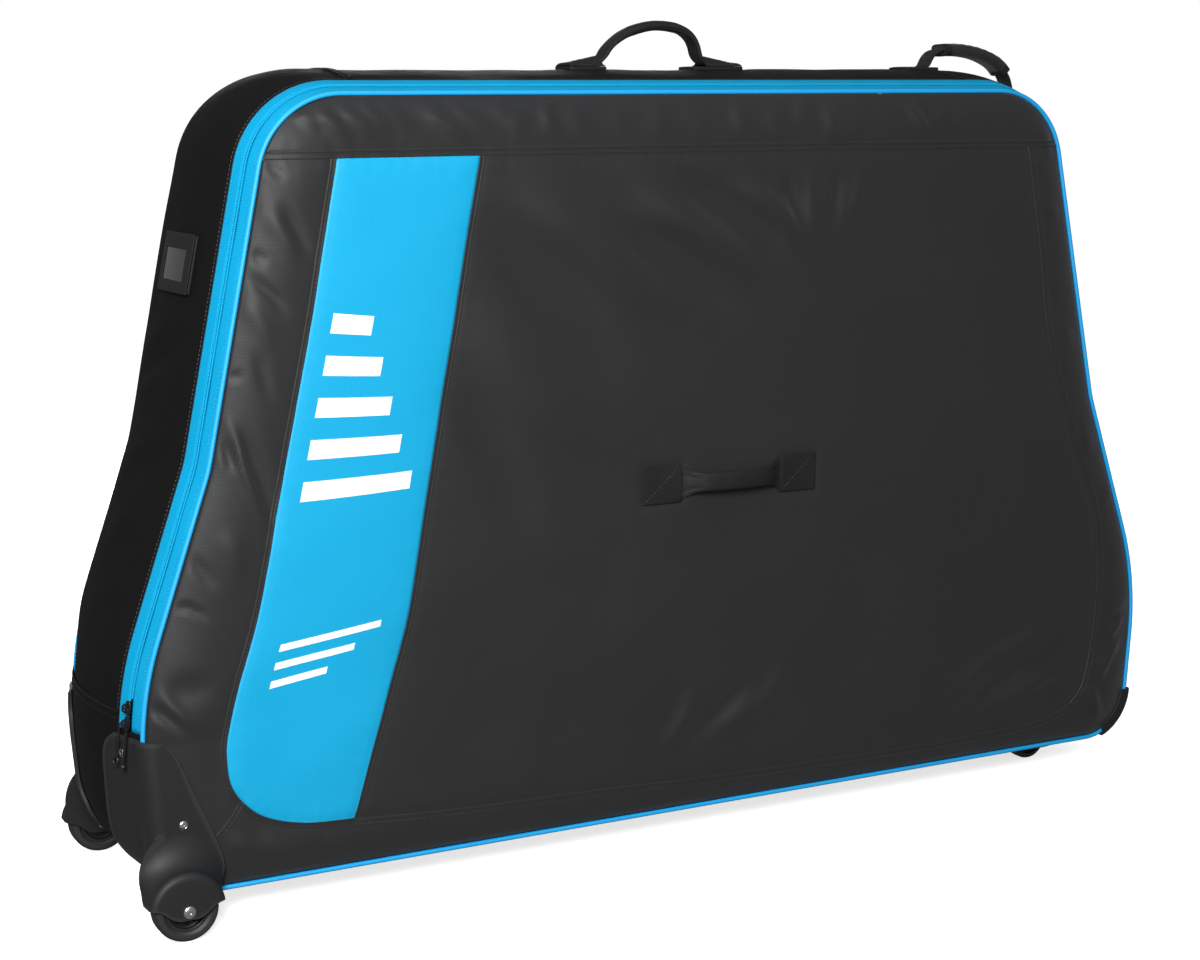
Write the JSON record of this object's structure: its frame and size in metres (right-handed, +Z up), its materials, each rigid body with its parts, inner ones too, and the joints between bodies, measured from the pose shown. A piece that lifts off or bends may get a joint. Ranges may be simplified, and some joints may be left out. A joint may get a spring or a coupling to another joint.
{
  "type": "bike travel case",
  "caption": "Soft-sided travel case for a bicycle: zipped folding front, webbing handles, fixed wheels in moulded guards at one end and swivel casters at the other.",
  "frame": {"origin": "on the floor, at the middle of the length and of the width", "axes": "+Z up, +X along the case towards the casters, -Y the zipped front"},
  "size_m": [1.31, 0.3458, 0.9058],
  "materials": {
    "coated_fabric": "satin coated polyester, dark grey",
    "matte_nylon": "matte woven nylon, near black",
    "blue_fabric": "satin coated fabric, bright sky blue",
    "blue_trim": "woven zip tape and piping, sky blue",
    "webbing": "woven webbing, black",
    "moulded_plastic": "fine-textured moulded plastic, dark grey",
    "foam": "closed-cell foam under a black cloth face",
    "tyre_rubber": "black rubber",
    "bright_steel": "zinc-plated steel",
    "black_metal": "black painted die-cast zip hardware",
    "clear_film": "clear flexible film over grey"
  },
  "bodies": {
    "case": {"front_lower_panel": "coated_fabric", "rear_panel": "matte_nylon", "gusset_left": "matte_nylon", "gusset_top": "matte_nylon", "gusset_right": "matte_nylon", "gusset_kick_panel": "matte_nylon", "base_fabric": "matte_nylon", "front_lower_band": "blue_fabric", "lower_piping": "blue_trim", "rear_piping": "blue_trim", "zip_tape_outer": "blue_trim", "zip_coil_outer": "blue_trim", "rear_foam": "foam", "frame_block": "foam", "hold_down_strap": "webbing", "floor_board": "moulded_plastic", "wheel_guard_front": "moulded_plastic", "wheel_guard_rear": "moulded_plastic", "corner_guard_front": "moulded_plastic", "corner_guard_rear": "moulded_plastic", "guard_front_face_rivet": "bright_steel", "guard_front_end_rivet": "bright_steel", "guard_rear_face_rivet": "bright_steel", "guard_rear_end_rivet": "bright_steel", "axle_bolt_front": "bright_steel", "axle_bolt_rear": "bright_steel", "caster_front_housing": "moulded_plastic", "caster_rear_housing": "moulded_plastic", "top_handle_anchor_left": "webbing", "top_handle_anchor_right": "webbing", "tow_handle_anchor_left": "webbing", "tow_handle_anchor_right": "webbing", "label_pocket_back": "webbing", "label_pocket_window": "clear_film"},
    "lid": {"lid_panel": "coated_fabric", "lid_foam": "foam", "lid_band": "blue_fabric", "lid_piping": "blue_trim", "zip_tape_inner": "blue_trim", "zip_coil_inner": "blue_trim", "grab_patch_left": "webbing", "grab_patch_right": "webbing", "grab_strap": "webbing"},
    "slider_a": {"zip_slider_a": "black_metal"},
    "slider_b": {"zip_slider_b": "black_metal"},
    "pull_a": {"zip_pull_a": "black_metal"},
    "pull_b": {"zip_pull_b": "black_metal"},
    "wheel_front": {"wheel_front_tyre": "tyre_rubber", "wheel_front_hub": "moulded_plastic"},
    "wheel_rear": {"wheel_rear_tyre": "tyre_rubber", "wheel_rear_hub": "moulded_plastic"},
    "caster_front": {"caster_front_fork": "moulded_plastic", "caster_front_axle": "bright_steel"},
    "caster_rear": {"caster_rear_fork": "moulded_plastic", "caster_rear_axle": "bright_steel"},
    "caster_roller_front": {"caster_front_wheel": "tyre_rubber"},
    "caster_roller_rear": {"caster_rear_wheel": "tyre_rubber"},
    "top_handle": {"top_handle_loop": "webbing"},
    "tow_handle": {"tow_handle_strap": "webbing", "tow_handle_grip": "webbing"}
  },
  "joints": [
    {"name": "lid_fold", "type": "hinge", "parent": "case", "child": "lid", "pos_m": [0, -0.139, 0.14978], "axis": [0.9962, 0, -0.0873], "range_deg": [0, 90]},
    {"name": "slider_b_travel", "type": "hinge", "parent": "case", "child": "slider_b", "pos_m": [-0.28059, 0, 0.18372], "axis": [0, 1, 0], "range_deg": [0, 11.7]},
    {"name": "slider_a_travel", "type": "hinge", "parent": "case", "child": "slider_a", "pos_m": [-0.28059, 0, 0.18372], "axis": [0, 1, 0], "range_deg": [0, 11.7]},
    {"name": "pull_a_swing", "type": "hinge", "parent": "slider_a", "child": "pull_a", "pos_m": [-0.644, -0.10667, 0.21447], "axis": [-0.3155, 0.9486, 0.0267], "range_deg": [0, 150]},
    {"name": "pull_b_swing", "type": "hinge", "parent": "slider_b", "child": "pull_b", "pos_m": [-0.64229, -0.10667, 0.23053], "axis": [-0.314, 0.9486, 0.0406], "range_deg": [0, 150]},
    {"name": "wheel_front_roll", "type": "hinge", "parent": "case", "child": "wheel_front", "pos_m": [-0.603, -0.154, 0.033], "axis": [0, 1, 0], "continuous": true},
    {"name": "wheel_rear_roll", "type": "hinge", "parent": "case", "child": "wheel_rear", "pos_m": [-0.603, 0.154, 0.033], "axis": [0, 1, 0], "continuous": true},
    {"name": "caster_front_swivel", "type": "hinge", "parent": "case", "child": "caster_front", "pos_m": [0.502, -0.062, 0], "axis": [0, 0, 1], "continuous": true},
    {"name": "caster_rear_swivel", "type": "hinge", "parent": "case", "child": "caster_rear", "pos_m": [0.502, 0.062, 0], "axis": [0, 0, 1], "continuous": true},
    {"name": "caster_front_roll", "type": "hinge", "parent": "caster_front", "child": "caster_roller_front", "pos_m": [0.52, -0.062, 0.025], "axis": [0, 1, 0], "continuous": true},
    {"name": "caster_rear_roll", "type": "hinge", "parent": "caster_rear", "child": "caster_roller_rear", "pos_m": [0.52, 0.062, 0.025], "axis": [0, 1, 0], "continuous": true},
    {"name": "top_handle_tip", "type": "hinge", "parent": "case", "child": "top_handle", "pos_m": [-0.067, 0, 0.8606], "axis": [1, 0, 0], "range_deg": [-60, 60]},
    {"name": "tow_handle_tip", "type": "hinge", "parent": "case", "child": "tow_handle", "pos_m": [0.388, 0, 0.8606], "axis": [0.8752, 0, -0.4838], "range_deg": [-50, 50]}
  ],
  "couplings": [
    {"joint": "slider_a_travel", "follows": "slider_b_travel", "ratio": 1}
  ]
}
